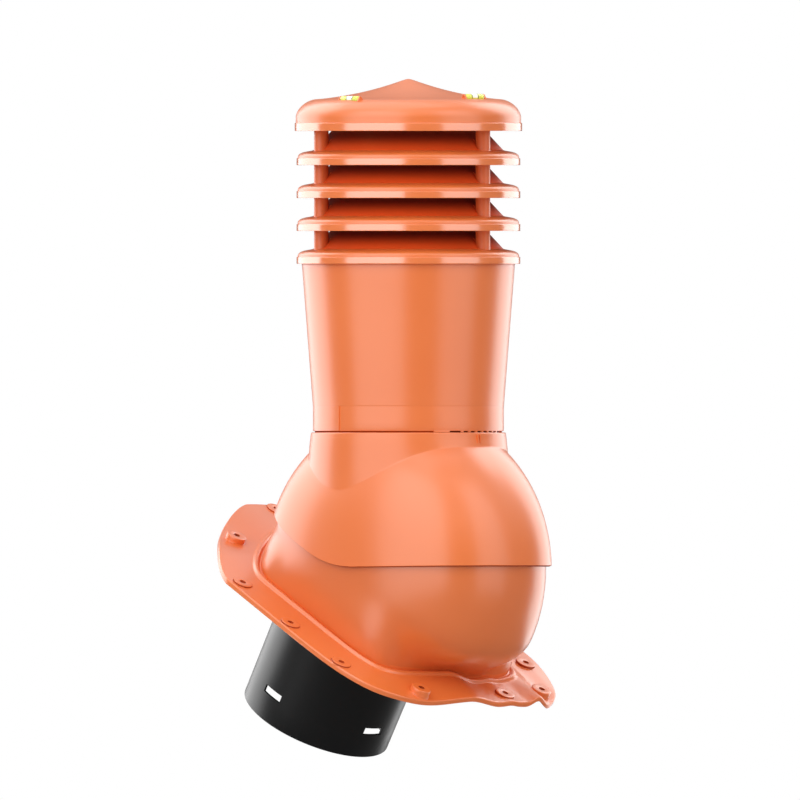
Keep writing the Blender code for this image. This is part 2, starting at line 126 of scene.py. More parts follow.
# %% [markdown]
# Roof coordinates
#
# The base lies on a sloping roof, so it is simple only in the roof's own directions: u across, v
# down the slope and h above it. It could be made level and rotated as an object. Turning its
# points instead leaves every mesh in world coordinates.


# %% Between roof and world
def roof_to_world(u, v, h):
    """Turn (across, down the slope, above the roof) by the roof's slope into world x, y, z."""
    c, s = math.cos(ROOF_SLOPE), math.sin(ROOF_SLOPE)
    u, v, h = np.broadcast_arrays(u, v, h)
    return np.stack([u, -v * c - h * s, -v * s + h * c], axis=-1)


def world_to_roof(x, y, z):
    """The same turn backwards, into mm: u = x, v = -y cos - z sin, h = z cos - y sin."""
    c, s = math.cos(ROOF_SLOPE), math.sin(ROOF_SLOPE)
    return x / MM, (-c * y - s * z) / MM, (c * z - s * y) / MM


print("one metre down the slope is", roof_to_world(0.0, 1.0, 0.0).round(3), "in the world")

# %% [markdown]
# From grid to mesh
#
# A closed shell is a grid of points whose columns run round and meet. Its rows meet as well, as
# on a ring, or end in two poles that fans of triangles close. Screw and Solidify modifiers could
# give the walls, but not the edges and poles in the same sheet. The sign of the volume tells
# whether the faces point outwards.


# %% Shells
def shell(grid, first_pole=None, last_pole=None):
    """Quads between neighbouring grid points, and a fan of triangles to each pole if given."""
    rows, columns, _ = grid.shape
    r = np.arange(rows if first_pole is None else rows - 1)[:, None]
    c = np.arange(columns)[None, :]
    r2, c2 = (r + 1) % rows, (c + 1) % columns
    quads = [r * columns + c, r * columns + c2, r2 * columns + c2, r2 * columns + c]
    quads = np.stack(np.broadcast_arrays(*quads), axis=-1).reshape(-1, 4)
    points = grid.reshape(-1, 3)
    if first_pole is None:
        return points, [quads]
    count = len(points)
    here, following = c[0], c2[0]
    last = (rows - 1) * columns
    first_fan = np.stack([following, here, np.full(columns, count)], axis=-1)
    last_fan = np.stack([last + here, last + following, np.full(columns, count + 1)], axis=-1)
    return np.concatenate([points, [first_pole, last_pole]]), [quads, first_fan, last_fan]


def ended(grid):
    """A shell whose first and last rows are closed by fans to their own middles."""
    return shell(grid, grid[0].mean(axis=0), grid[-1].mean(axis=0))


def outward(points, faces):
    """Faces turned to make the sum of a.(b x c)/6 over their triangles positive, and that sum."""
    total = 0.0
    for group in faces:
        for k in range(1, group.shape[1] - 1):
            a, b, c = points[group[:, 0]], points[group[:, k]], points[group[:, k + 1]]
            total += (a * np.cross(b, c)).sum() / 6.0
    if total < 0.0:
        faces = [group[:, ::-1] for group in faces]
    return faces, abs(total)


def make_mesh(name, shells):
    """Join closed shells into one mesh, written with foreach_set."""
    points, corners, sizes, volume, start = [], [], [], 0.0, 0
    for shell_points, faces in shells:
        faces, part = outward(shell_points, faces)
        volume += part
        points.append(shell_points)
        corners += [(group + start).ravel() for group in faces]
        sizes += [np.full(len(group), group.shape[1]) for group in faces]
        start += len(shell_points)
    points, corners, sizes = np.concatenate(points), np.concatenate(corners), np.concatenate(sizes)
    mesh = bpy.data.meshes.new(name)
    mesh.vertices.add(len(points))
    mesh.vertices.foreach_set("co", points.ravel())
    mesh.loops.add(len(corners))
    mesh.loops.foreach_set("vertex_index", corners)
    mesh.polygons.add(len(sizes))
    mesh.polygons.foreach_set("loop_start", np.concatenate([[0], np.cumsum(sizes)[:-1]]))
    mesh.update(calc_edges=True)
    triangles = int((sizes - 2).sum())
    print(f"{name}: {len(points)} points, {triangles} triangles, {volume * 1e6:.1f} cm3")
    return mesh


print("a ring of 3 rows and 4 columns has", len(shell(np.zeros((3, 4, 3)))[1][0]), "quads")

# %% [markdown]
# Pieces and finishes
#
# A piece rides on one of the two moving bodies and stands for some of the plain solids. One
# moulding can leave its tool with several skins, and some faces carry painted shade or a painted
# highlight. They could be objects of their own. A material slot for each skin or painted shade,
# given to faces by where they are, keeps the mesh closed and its edges shared.


# %% Pieces
def new_piece(name, shells, crease=35.0):
    """An object made of shells, smooth except where faces meet more sharply than the crease."""
    mesh = make_mesh(name, shells)
    piece = bpy.data.objects.new(name, mesh)
    bpy.context.scene.collection.objects.link(piece)
    mesh.shade_smooth()
    mesh.set_sharp_from_angle(angle=math.radians(crease))
    return piece


def settle(piece, material, body, slot, *nodes):
    """Give a piece its material, its moving body and the solids it stands for. The slot is not
    used.
    """
    piece.data.materials.clear()
    piece.data.materials.append(material)
    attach(piece, body)
    if nodes:
        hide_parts(*nodes)


def second_finish_or_painted_light(piece, material, choose):
    """Give another finish, or painted light or shade, to the faces that a test picks from the x, y
    and z of their centres.
    """
    mesh = piece.data
    centres = np.empty(len(mesh.polygons) * 3)
    mesh.polygons.foreach_get("center", centres)
    chosen = choose(*centres.reshape(-1, 3).T)
    finish = np.zeros(len(mesh.polygons), np.int32)
    mesh.polygons.foreach_get("material_index", finish)
    finish[chosen] = len(mesh.materials)
    mesh.materials.append(material)
    mesh.polygons.foreach_set("material_index", finish)
    print(piece.name, "has", int(chosen.sum()), "faces in", material.name)


def tube_radius(x, y):
    """Distance from the chimney's upright axis."""
    return np.hypot(x, y - TUBE_Y)


print("the duct meets the roof", round(tube_radius(0.0, 0.0) / MM, 1), "mm from the chimney's axis")

# %% [markdown]
# Turning and cutting
#
# Most of the chimney is turned, as on a lathe. The Screw modifier does that too, but on a grid
# the number and place of the columns are known. Only pockets and slots cut square through a round
# wall, where a grid can't follow. They are exact Booleans, applied at once.


# %% Lathe and cutter
def turned(outline, segments):
    """Carry an outline of (radius, height) round the chimney's upright axis."""
    turn = np.linspace(0.0, 2 * math.pi, segments, endpoint=False)
    radius, height = np.asarray(outline).T
    x = radius[:, None] * np.cos(turn)
    y = TUBE_Y + radius[:, None] * np.sin(turn)
    return np.stack([x, y, height[:, None] + 0.0 * x], axis=-1)


def cut(piece, cutter_mesh):
    """Cut a helper mesh out of a piece with an exact Boolean, apply it and delete the helper."""
    helper = bpy.data.objects.new("cutter", cutter_mesh)
    bpy.context.scene.collection.objects.link(helper)
    modifier = piece.modifiers.new("cut", "BOOLEAN")
    modifier.operation = "DIFFERENCE"
    modifier.solver = "EXACT"
    modifier.object = helper
    graph = bpy.context.evaluated_depsgraph_get()
    mesh = bpy.data.meshes.new_from_object(piece.evaluated_get(graph))
    piece.modifiers.clear()
    old = piece.data
    piece.data = mesh
    mesh.name = old.name
    bpy.data.meshes.remove(old)
    bpy.data.objects.remove(helper, do_unlink=True)


print("2 points turned in 8 segments are a grid of", turned([(0.1, 0.0), (0.1, 0.2)], 8).shape)

# %% [markdown]
# Materials
#
# The orange is polypropylene, coloured all through and moulded in a polished tool: a soft diffuse
# colour with a clear, slightly blurred reflection on top. Its colour drifts slightly where the
# melt flowed, and a fine grain keeps the highlights from looking like glass. Images could carry
# both, but noise in object coordinates needs no unwrapping and never repeats. Flow marks on such a
# shell are some 60 mm long, and so is the drift. A moulded grain is about 0.1 mm wide, too fine
# to show in the render, so it is drawn 0.9 mm wide.


# %% Colour and node helpers
def linear(hex_colour):
    """An sRGB hex colour as linear red, green, blue and alpha."""
    levels = [int(hex_colour[i:i + 2], 16) / 255.0 for i in (1, 3, 5)]
    curve = [x / 12.92 if x <= 0.04045 else ((x + 0.055) / 1.055) ** 2.4 for x in levels]
    return (*curve, 1.0)


def add_node(tree, kind, settings=None, **inputs):
    """Add a node, set its properties, and fill or link its inputs by name, or by number as i6."""
    node = tree.nodes.new(kind)
    for key, value in (settings or {}).items():
        setattr(node, key, value)
    for key, value in inputs.items():
        by_number = key[1:].isdigit()
        socket = node.inputs[int(key[1:]) if by_number else key.replace("_", " ")]
        if isinstance(value, bpy.types.NodeSocket):
            tree.links.new(value, socket)
        else:
            socket.default_value = value
    return node


def noise(tree, size_mm, detail=2.0, roughness=0.5):
    """Noise between 0 and 1 whose largest spots are about this size in object coordinates."""
    place = add_node(tree, "ShaderNodeTexCoord").outputs["Object"]
    return add_node(tree, "ShaderNodeTexNoise", Vector=place, Scale=1.0 / (size_mm * MM),
                    Detail=detail, Roughness=roughness).outputs["Fac"]


def ramp(tree, value, low, high, start, end):
    """The start below the low value, the end above the high one, and a straight line between."""
    return add_node(tree, "ShaderNodeMapRange", Value=value, From_Min=low, From_Max=high,
                    To_Min=start, To_Max=end).outputs["Result"]


def blend(tree, share, first, last):
    """A mix of two linear colours by a share from 0 to 1."""
    return add_node(tree, "ShaderNodeMix", {"data_type": "RGBA"}, Factor=share,
                    i6=first, i7=last).outputs["Result"]


def distance_share(tree, first_mm, last_mm):
    """0 at the first distance from the chimney's axis, 1 at the last, and a smooth step between."""
    place = add_node(tree, "ShaderNodeTexCoord").outputs["Object"]
    centred = add_node(tree, "ShaderNodeMapping", Vector=place,
                       Location=(0.0, -TUBE_Y, 0.0), Scale=(1.0, 1.0, 0.0))
    radius = add_node(tree, "ShaderNodeVectorMath", {"operation": "LENGTH"},
                      i0=centred.outputs["Vector"])
    share = add_node(tree, "ShaderNodeMapRange", {"interpolation_type": "SMOOTHSTEP"},
                     Value=radius.outputs["Value"], From_Min=first_mm * MM, From_Max=last_mm * MM)
    return share.outputs["Result"]


def moulded_plastic(name, colour, deep, roughness, ior, grain_mm=0.9, grain_depth_mm=0.004,
                    flow_mm=60.0, radii_mm=None):
    """Plastic with a moulded grain, whose colour drifts between two tones over the flow length.
    With two distances from the chimney's axis, it goes from one tone to the other there instead,
    as painted shade."""
    material = bpy.data.materials.new(name)
    material.use_nodes = True
    tree = material.node_tree
    tree.nodes.clear()
    share = distance_share(tree, *radii_mm) if radii_mm else noise(tree, flow_mm)
    tint = blend(tree, share, linear(colour), linear(deep))
    grain = noise(tree, grain_mm, 3.0, 0.6)
    rough = ramp(tree, grain, 0.3, 0.7, roughness * 0.93, roughness * 1.07)
    relief = add_node(tree, "ShaderNodeBump", Height=grain, Strength=1.0,
                      Distance=grain_depth_mm * MM)
    shader = add_node(tree, "ShaderNodeBsdfPrincipled", Base_Color=tint, Roughness=rough,
                      Normal=relief.outputs["Normal"])
    shader.inputs["IOR"].default_value = ior
    shader.inputs["Metallic"].default_value = 0.0
    add_node(tree, "ShaderNodeOutputMaterial", Surface=shader.outputs["BSDF"])
    return material


print("#F37E3E is", [round(level, 3) for level in linear("#F37E3E")[:3]], "in linear light")

# %% [markdown]
# One plastic, several skins and painted shades
#
# Polypropylene has an index of refraction of 1.5. The reflections on this chimney are stronger
# than that gives, most of all on its rims, so the index is matched to the object. A coat layer
# could do it too, but one index is simpler. Deep recesses are nearly black on the object, while a
# render keeps some light in them, so their plastic is darker than the real pigment: painted shade.
# The cones turn dark towards the chimney's axis as painted shade too, the posts and the hump are
# darker copies of the orange for painted shade, and the rims a lighter one for a painted highlight.

# %% Finishes
# The polished casing shows broad soft bands of reflected light
satin_orange = moulded_plastic("terracotta_polypropylene_satin", "#F37E3E", "#EF7838", 0.30, 1.8)
# The rims come from a mirror-bright part of the tool, so their bands are sharp. Their orange is
# lighter than the casing's, a painted highlight
bright_orange_painted_highlight = moulded_plastic("terracotta_polypropylene_bright_painted_highlight", "#FF8540", "#FD823C", 0.17, 2.7,
                                grain_depth_mm=0.001)
# The hump has the casing's gloss in a slightly deeper tone, which is painted shade
hump_painted_shade_orange = moulded_plastic("terracotta_polypropylene_hump_painted_shade", "#E6773A", "#E27134", 0.30, 1.8)
# Painted shade: faces deep in a recess get a dark, rough orange in place of the shade that falls
# there, and the slots between the teeth a near-black one
recess_painted_shade_orange = moulded_plastic("terracotta_polypropylene_recess_painted_shade", "#B8481F", "#A83E19", 0.9, 1.3)
slot_painted_shade_orange = moulded_plastic("terracotta_polypropylene_slot_painted_shade", "#5E1408", "#501006", 0.9, 1.3)
# Painted shade: the cones are dull and turn from orange to near black towards the chimney's axis,
# the faces behind each lip are a deeper orange, and the posts a duller, darker one
cone_painted_shade_orange = moulded_plastic("terracotta_polypropylene_louvre_cone_painted_shade", "#F0581E", "#66180A",
                              0.45, 1.49, radii_mm=(92.0, 78.0))
post_painted_shade_orange = moulded_plastic("terracotta_polypropylene_louvre_post_painted_shade", "#E66E38", "#DE6832",
                              0.36, 1.5)
# The spigot is black polypropylene with a rougher, duller skin
satin_black = moulded_plastic("black_polypropylene_satin", "#111112", "#0D0D0E", 0.36, 1.5,
                              grain_mm=0.7, grain_depth_mm=0.012)
print("finishes:", ", ".join(sorted(material.name for material in bpy.data.materials)))

# %% [markdown]
# Louvre rings
#
# Each ring sheds rain over a turned-down lip and lets air out above its cone. It could be box
# modelled and bevelled, but a lathe outline says it all: a proud band at the lip, a small step, a
# round shoulder, a gentle slope and the cone inside. The three posts are moulded on each ring, so
# they are shells in the same mesh, sunk into the shoulder.

# %% Ring shapes
LIP_R = 108.5
BAND_WALL = 0.85
RING_BAND_TOP = 6.62
CONE_FOOT_R = 92.4
POST_CENTRE_R = 91.3 * MM
POST_R = 7.1
POST_FOOT = 13.3
POST_TURNS = [math.radians(7.3) + index * 2 * math.pi / 3 for index in range(3)]
SEGMENTS = 256


def ring_outline():
    """Lathe outline of a louvre ring in mm above its lip: up the outside, then down the inside."""
    return np.concatenate([
        arc((LIP_R - 0.55, 0.55), (0.55, 0.55), -90, 0, 5),
        arc((LIP_R - 0.35, 6.25), (0.35, 0.35), 0, 90, 4),
        corner((LIP_R - 0.75, RING_BAND_TOP), (LIP_R - 1.0, 6.7), (LIP_R - 1.02, 7.1), 3),
        corner((107.45, 7.5), (107.4, 11.7), (99.3, 13.15), 13),
        corner((93.6, 14.15), (92.2, 14.4), (91.5, 15.2), 5),
        run((91.5, 15.2), (73.2, 34.9), 3),
        arc((72.0, 35.0), (0.9, 0.9), 45, 200, 6),
        run((70.9, 34.3), (91.0, 12.8), 2),
        corner((90.8, 13.0), (91.4, 12.3), (92.6, 12.1), 4),
        corner((100.6, 10.7), (106.0, 9.6), (106.2, 4.6), 7),
        arc((106.6, 0.4), (0.4, 0.4), 180, 270, 3)])


def post(bottom, top, centre_turn, lip_z):
    """A round post as a lathe outline about its own axis, with a small fillet at its foot."""
    outline = np.array([(POST_R + 0.9, bottom), (POST_R + 0.35, bottom + 0.45),
                        (POST_R, bottom + 1.2), (POST_R, top)])
    turn = np.linspace(0.0, 2 * math.pi, 40, endpoint=False)
    x = POST_CENTRE_R * math.sin(centre_turn) + outline[:, :1] * MM * np.cos(turn)
    y = TUBE_Y - POST_CENTRE_R * math.cos(centre_turn) + outline[:, :1] * MM * np.sin(turn)
    z = lip_z + outline[:, 1:] * MM + 0.0 * x
    return ended(np.stack([x, y, z], axis=-1))


def near_a_post(x, y, z):
    """True for faces from 0.15 mm inside a post's radius to 0.95 mm outside, with its fillet."""
    chosen = np.zeros(len(x), bool)
    for turn in POST_TURNS:
        along = x - POST_CENTRE_R * math.sin(turn)
        across = y - TUBE_Y + POST_CENTRE_R * math.cos(turn)
        chosen |= np.abs(np.hypot(along, across) - (POST_R + 0.4) * MM) < 0.55 * MM
    return chosen


def on_a_band(rim_r, rim_z, band_top):
    """A test for the faces of the proud band round a rim."""
    return lambda x, y, z: ((tube_radius(x, y) > (rim_r - BAND_WALL) * MM)
                            & (z < rim_z + band_top * MM))


def in_a_throat(lip_z):
    """A test for the faces of a ring's cone and for those behind its lip."""
    return lambda x, y, z: ((tube_radius(x, y) < CONE_FOOT_R * MM)
                            | (z < lip_z + 6.0 * MM) & (tube_radius(x, y) < 106.5 * MM))


print("a ring's outline has", len(ring_outline()), "points")

# %% Louvre rings
for number in (1, 2, 3, 4):
    lip_z, head_z = (corner_point.z for corner_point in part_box(f"louvre_ring_{number}"))
    shells = [shell(turned(ring_outline() * MM + (0.0, lip_z), SEGMENTS))]
    shells += [post(POST_FOOT, (head_z - lip_z) / MM, turn, lip_z) for turn in POST_TURNS]
    ring = new_piece(f"louvre_{number}", shells)
    settle(ring, satin_orange, "head", "terracotta_plastic", f"louvre_ring_{number}")
    # The rim band is a lighter orange, a painted highlight
    second_finish_or_painted_light(ring, bright_orange_painted_highlight, on_a_band(LIP_R, lip_z, RING_BAND_TOP))
    # The cone and the faces behind the lip darken towards the axis, painted shade
    second_finish_or_painted_light(ring, cone_painted_shade_orange, in_a_throat(lip_z))
    # The posts are a darker orange, painted shade
    second_finish_or_painted_light(ring, post_painted_shade_orange, near_a_post)

# %% [markdown]
# Rain cap
#
# The cap is a thin shell: a proud band at the rim, a shoulder that follows a superellipse, and a
# shallow, slightly hollow cone with a rounded point. It could be a subdivided cone, but its slope
# is a measured curve, so it is turned as well. The two spirit levels sit in pockets between small
# cheeks, so each pocket is cut out of the turned shell.

# %% Cap shapes
CAP_R = 110.3
CAP_BAND_TOP = 7.69
CAP_PEAK = 514.6 * MM
CAP_WALL = 2.4
CAP_RIM_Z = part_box("cap")[0].z
POCKET = (6.0, 6.0, 9.0)
POCKET_RISE = 1.4
LEVEL_SEATS = {}
for side, axis in (("side", 1), ("front", 0)):
    low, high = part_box(f"spirit_level_{side}")
    LEVEL_SEATS[side] = (np.array((low + high) / 2), axis, (high - low)[axis])


def cap_height(radius):
    """A straight slope plus a square term, with the tip rounded by taking sqrt(r^2 + 2.6^2)."""
    r = np.hypot(radius, 2.6)
    sag = 0.5 * smooth_step(60.0, 88.0, r)
    return CAP_PEAK / MM - 0.3913 * r + 0.00185 * r ** 2 - sag - CAP_RIM_Z / MM


def cap_outline():
    """Lathe outline of the cap in mm above its rim, from the tip's top to the tip's underside."""
    cone_r = np.concatenate([np.linspace(0.6, 8.0, 8), np.linspace(12.0, 84.0, 19)])
    cone = np.stack([cone_r, cap_height(cone_r)], axis=-1)
    inner_r = np.array([86.0, 70.0, 50.0, 26.0, 6.0])
    inner = np.stack([inner_r, cap_height(inner_r) - CAP_WALL], axis=-1)
    return np.concatenate([
        cone,
        arc((88.0, 13.0), (21.35, 17.9), 89, 0, 22, power=1.8),
        corner((CAP_R - 0.95, 8.3), (CAP_R - 0.92, 7.75), (CAP_R - 0.5, 7.7), 4),
        arc((CAP_R - 0.35, 7.3), (0.35, 0.35), 90, 0, 4),
        arc((CAP_R - 0.55, 0.55), (0.55, 0.55), 0, -90, 5),
        arc((107.9, 0.4), (0.4, 0.4), 270, 180, 3),
        corner((107.0, 9.0), (107.0, 28.0), (90.0, 28.4), 12),
        inner])


def block(centre, size):
    """An upright box as a closed shell, from its centre and full size."""
    corners = np.array([(-1, -1), (1, -1), (1, 1), (-1, 1)]) / 2.0
    x = centre[0] + corners[:, 0] * size[0]
    y = centre[1] + corners[:, 1] * size[1]
    rows = [np.stack([x, y, np.full(4, centre[2] + sign * size[2] / 2)], axis=-1)
            for sign in (-1, 1)]
    return ended(np.array(rows))


def cheek(centre, axis, sign, length):
    """A small plate at one end of a level: a rounded outline carried along the level's axis."""
    outline = np.concatenate([
        [(-4.8, -5.0), (-4.8, -2.5)],
        corner((-1.3, 2.4), (0.0, 3.9), (1.3, 2.4), 9),
        [(4.8, -2.5), (4.8, -5.0)]]) * MM
    insets = ((0.0, 0.88), (0.25, 0.96), (0.6, 1.0), (1.1, 1.0), (1.45, 0.96), (1.7, 0.88))
    rows = []
    for depth, shrink in insets:
        along = np.full(len(outline), sign * (length / 2 + 0.15 * MM + depth * MM))
        across = outline[:, 0] * shrink
        up = outline[:, 1] - (1.0 - shrink) * 3.0 * MM
        columns = [along, across, up] if axis == 0 else [across, along, up]
        rows.append(np.stack(columns, axis=-1) + centre)
    return ended(np.array(rows))


print("the cap's tip stands", round(cap_height(0.0), 1), "mm above its rim")

# %% Cap
tip = np.array([0.0, TUBE_Y, CAP_RIM_Z + cap_height(0.0) * MM])
under_tip = tip - (0.0, 0.0, 2.6 * MM)
cap_grid = turned(cap_outline() * MM + (0.0, CAP_RIM_Z), SEGMENTS)
cap = new_piece("cap_shell", [shell(cap_grid, tip, under_tip)])
pockets, cheeks = [], []
for centre, axis, length in LEVEL_SEATS.values():
    size = np.array(POCKET) * MM
    size[axis] = length + 0.3 * MM
    pockets.append(block(centre + (0.0, 0.0, POCKET_RISE * MM), size))
    cheeks += [cheek(centre, axis, sign, length) for sign in (-1, 1)]
cut(cap, make_mesh("pockets", pockets))
cheek_piece = new_piece("level_cheeks", cheeks)
cap.data.shade_smooth()
cap.data.set_sharp_from_angle(angle=math.radians(35.0))
settle(cap, satin_orange, "head", "terracotta_plastic", "cap")
# The cap's rim band is a lighter orange, a painted highlight
second_finish_or_painted_light(cap, bright_orange_painted_highlight, on_a_band(CAP_R, CAP_RIM_Z, CAP_BAND_TOP))
settle(cheek_piece, satin_orange, "head", "terracotta_plastic")

# %% [markdown]
# Casing tube
#
# The casing is straight up to a faint line 26 mm above the collar and tapers outwards from there.
# Its foot stands on the collar with a fine gap, in which a row of adjusting teeth shows on one
# side. An array modifier could repeat the teeth. They are separate small blocks of a ring sector
# instead, so each is placed by its own angle.

# %% Casing shapes
FOOT_Z = 170.6
FOOT_R = 92.6
FOOT_GAP = 1.3
PLUG_R = 90.7
PLUG_END = FOOT_Z - 9.2
BAND_Z = 196.3
TOP_Z = 340.7
TOP_R = 103.4
VIEW_TURN = math.radians(-135.0)
TEETH, FIRST_TOOTH, TOOTH_STEP, TOOTH_WIDTH = 7, 33.6, 5.5, 1.8


def sector(inner, outer, low, high, start, end):
    """A block of a ring between two radii, two heights and two angles seen from the camera."""
    turn = VIEW_TURN + np.radians(np.linspace(start, end, 5))
    rows = []
    for angle in turn:
        c, s = math.cos(angle) * MM, math.sin(angle) * MM
        rows.append([(inner * c, inner * s, low * MM), (outer * c, outer * s, low * MM),
                     (outer * c, outer * s, high * MM), (inner * c, inner * s, high * MM)])
    return ended(np.array(rows) + (0.0, TUBE_Y, 0.0))


def casing_outline():
    """Lathe outline of the casing in mm: plug in the collar, foot, taper and inner wall."""
    gap_z = FOOT_Z + FOOT_GAP
    return np.concatenate([
        [(PLUG_R, PLUG_END), (PLUG_R, gap_z - 0.3)],
        corner((91.0, gap_z), (FOOT_R, gap_z), (FOOT_R, gap_z + 0.6), 5),
        run((FOOT_R, FOOT_Z + 2.0), (FOOT_R, BAND_Z - 0.4), 2),
        [(FOOT_R, BAND_Z - 0.4), (FOOT_R, BAND_Z), (FOOT_R + 0.1, BAND_Z + 0.15),
         (FOOT_R + 0.13, BAND_Z + 0.6)],
        run((FOOT_R + 0.13, BAND_Z + 0.6), (TOP_R, 334.2), 8),
        [(TOP_R, 334.2), (TOP_R - 1.6, TOP_Z - 0.5), (TOP_R - 2.2, TOP_Z), (TOP_R - 3.6, TOP_Z),
         (TOP_R - 4.1, TOP_Z - 0.5)],
        run((TOP_R - 4.1, TOP_Z - 0.5), (88.2, PLUG_END), 6),
        [(88.2, PLUG_END)]])


def in_the_joint(x, y, z):
    """True for faces of the plug's wall, which shows in the joint between casing and collar."""
    from_wall = np.abs(tube_radius(x, y) - PLUG_R * MM)
    return (from_wall < 0.16 * MM) & (z < (FOOT_Z + FOOT_GAP) * MM)


def between_teeth(x, y, z):
    """True for the part of that wall where the teeth stand, by its angle seen from the camera."""
    turn = np.degrees(np.arctan2(y - TUBE_Y, x) - VIEW_TURN)
    return in_the_joint(x, y, z) & (turn > 26.0) & (turn < 74.0)


print("the casing's outline has", len(casing_outline()), "points")

# %% Casing tube
seam_rib = sector(FOOT_R - 1.0, FOOT_R + 0.8, FOOT_Z + 2.0, BAND_Z, -47.1, -46.1)
stop_tab = sector(90.0, FOOT_R + 0.35, FOOT_Z + 0.25, FOOT_Z + 2.4, 15.5, 25.6)
tooth_starts = [FIRST_TOOTH + TOOTH_STEP * index for index in range(TEETH)]
teeth = [sector(90.9, FOOT_R - 0.1, FOOT_Z + 0.25, FOOT_Z + 2.2, start, start + TOOTH_WIDTH)
         for start in tooth_starts]
tube_shell = shell(turned(casing_outline() * MM, SEGMENTS))
tube = new_piece("casing", [tube_shell, seam_rib, stop_tab, *teeth])
settle(tube, satin_orange, "head", "terracotta_plastic", "casing_tube")
# The plug's wall in the joint is a dark orange, painted shade
second_finish_or_painted_light(tube, recess_painted_shade_orange, in_the_joint)
# Between the teeth the wall is near black, painted shade
second_finish_or_painted_light(tube, slot_painted_shade_orange, between_teeth)

# %% [markdown]
# Hood
#
# The hood is a dome turned about the tilt axis and closed towards its two sides by a
# superellipse, with a round collar growing out of it. A sculpted blob would look alike, but would
# not slide over the hump at an even gap. Seen from the pivot each point is a direction and a
# distance, so the dome is sampled along directions between the collar's foot and the lower edge.
# That keeps both edges exact.

# %% Dome formulas
DOME_RADIUS = 153.0
DOME_HALF_WIDTH = 105.8
DOME_POWER = 2.42
HOOD_WALL = 2.6
EDGE_RISE = 1.9
BACK_SLOPE = math.tan(math.radians(25.5))
EDGE_BLEND = 0.135
COLLAR_FOOT_R = 97.0
COLLAR_BORE_R = 91.0
COLLAR_R = 94.6
NECK_R = 95.4
COLLAR_TOP = FOOT_Z - PIVOT[2] / MM
HOOD_COLUMNS = 360


def barrel_reach(way, inset):
    """Distance in mm from the pivot along unit directions to |x/w|^n + (r/R)^n = 1."""
    across = np.abs(way[..., 0]) / (DOME_HALF_WIDTH - inset)
    around = np.hypot(way[..., 1], way[..., 2]) / (DOME_RADIUS - inset)
    return (across ** DOME_POWER + around ** DOME_POWER) ** (-1.0 / DOME_POWER)


def barrel_height(x, y, inset):
    """Height of the dome over a point: sqrt(r^2 - y^2), where r is its turning radius at x."""
    width = 1.0 - np.abs(x / (DOME_HALF_WIDTH - inset)) ** DOME_POWER
    return np.sqrt(((DOME_RADIUS - inset) * width ** (1.0 / DOME_POWER)) ** 2 - y ** 2)


def unit(vectors):
    """Vectors divided by their lengths."""
    return vectors / np.linalg.norm(vectors, axis=-1, keepdims=True)


def between(start, end, fraction):
    """Unit directions at a fraction of the way from one row of vectors to another."""
    return unit(unit(start) * (1.0 - fraction) + unit(end) * fraction)


dome_top = float(barrel_reach(np.array([0.0, 0.0, 1.0]), 0.0))
print("the dome reaches", round(dome_top, 1), "mm above the pivot")

# %% Hood rows
hood_turn = np.linspace(0.0, 2 * math.pi, HOOD_COLUMNS, endpoint=False)
out_x, out_y = np.sin(hood_turn), -np.cos(hood_turn)


def hood_ring(radius, height):
    """A round row of points about the collar's axis, in mm from the pivot."""
    return np.stack([radius * out_x, radius * out_y, height + 0.0 * hood_turn], axis=-1)


def edge_way(inset, turn=hood_turn):
    """Direction of the hood's lower edge: level in front, rising behind, a parabola between."""
    level = EDGE_RISE / (DOME_HALF_WIDTH - inset)
    back = -BACK_SLOPE * np.cos(turn)
    overlap = np.clip(EDGE_BLEND - np.abs(level - back), 0.0, None)
    climb = np.maximum(level, back) + overlap ** 2 / (4.0 * EDGE_BLEND)
    return np.stack([np.sin(turn), -np.cos(turn), climb], axis=-1)


def dome_row(inset, radius, fraction):
    """Points of the dome at a fraction of the way from a ring of this radius down to the edge."""
    start = hood_ring(radius, barrel_height(radius * out_x, radius * out_y, inset))
    way = between(start, edge_way(inset), fraction)
    return way * barrel_reach(way, inset)[:, None]


def hood_grid():
    """Rows from the collar's bore over its rim, down outside, round the edge and up inside."""
    rim = np.concatenate([
        arc((COLLAR_BORE_R + 0.4, COLLAR_TOP - 0.4), (0.4, 0.4), 180, 90, 3),
        arc((COLLAR_R - 1.3, COLLAR_TOP - 1.3), (1.3, 1.3), 90, 5, 7)])
    rows = [hood_ring(radius, height) for radius, height in rim]
    neck = hood_ring(NECK_R, COLLAR_TOP - 7.0)
    foot = dome_row(0.0, COLLAR_FOOT_R, 0.0)
    below = dome_row(0.0, COLLAR_FOOT_R, 0.012)
    drop = np.linalg.norm(foot - neck, axis=-1, keepdims=True)
    above = foot + (neck - foot) * np.minimum(1.1 / drop, 0.5)
    start = rows[-1]
    rows += [start * (1 - t) + neck * t for t in (0.25, 0.5, 0.75, 1.0)]
    rows += [neck * (1 - t) + above * t for t in (0.2, 0.4, 0.6, 0.8)]
    rows += [(1 - t) ** 2 * above + 2 * t * (1 - t) * foot + t * t * below
             for t in np.linspace(0, 1, 6)]
    rows += [dome_row(0.0, COLLAR_FOOT_R, f) for f in np.linspace(0.04, 0.985, 58)]
    for turn in np.radians(np.linspace(0.0, 180.0, 7)):
        inset = HOOD_WALL / 2 * (1.0 - math.cos(turn))
        rows.append(dome_row(inset, COLLAR_FOOT_R, 0.988 + 0.012 * math.sin(turn / 2)))
    rows += [dome_row(HOOD_WALL, COLLAR_BORE_R, f) for f in np.linspace(0.94, 0.0, 14)]
    rows.append(hood_ring(COLLAR_BORE_R, COLLAR_TOP - 9.8))
    return np.array(rows) * MM + PIVOT


